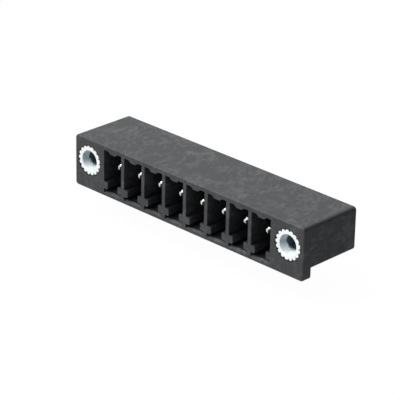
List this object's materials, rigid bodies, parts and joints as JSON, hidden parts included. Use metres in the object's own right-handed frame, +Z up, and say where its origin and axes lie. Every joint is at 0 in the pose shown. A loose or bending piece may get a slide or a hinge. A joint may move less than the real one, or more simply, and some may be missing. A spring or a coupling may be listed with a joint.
{
  "type": "pcb pin header",
  "caption": "Right-angle board connector half: a row of recessed round pins in open cavities, keying rails, and end flanges with knurled threaded inserts.",
  "frame": {"origin": "centre of the row of solder tails, on the surface of the board", "axes": "+X along the row of poles, -Y out of the mating face, +Z up from the board"},
  "size_m": [0.041, 0.0097, 0.0104],
  "materials": {
    "moulded_housing": "black glass-filled polyamide, as moulded, fine satin texture with faint flow streaks",
    "plated_insert": "turned and knurled insert with bright zinc or nickel plating",
    "tinned_contact": "bright tin plating over copper alloy"
  },
  "bodies": {
    "root": {"housing": "moulded_housing", "contact_pin_1": "tinned_contact", "contact_pin_2": "tinned_contact", "contact_pin_3": "tinned_contact", "contact_pin_4": "tinned_contact", "contact_pin_5": "tinned_contact", "contact_pin_6": "tinned_contact", "contact_pin_7": "tinned_contact", "contact_pin_8": "tinned_contact", "threaded_insert_left": "plated_insert", "threaded_insert_right": "plated_insert"}
  },
  "joints": []
}
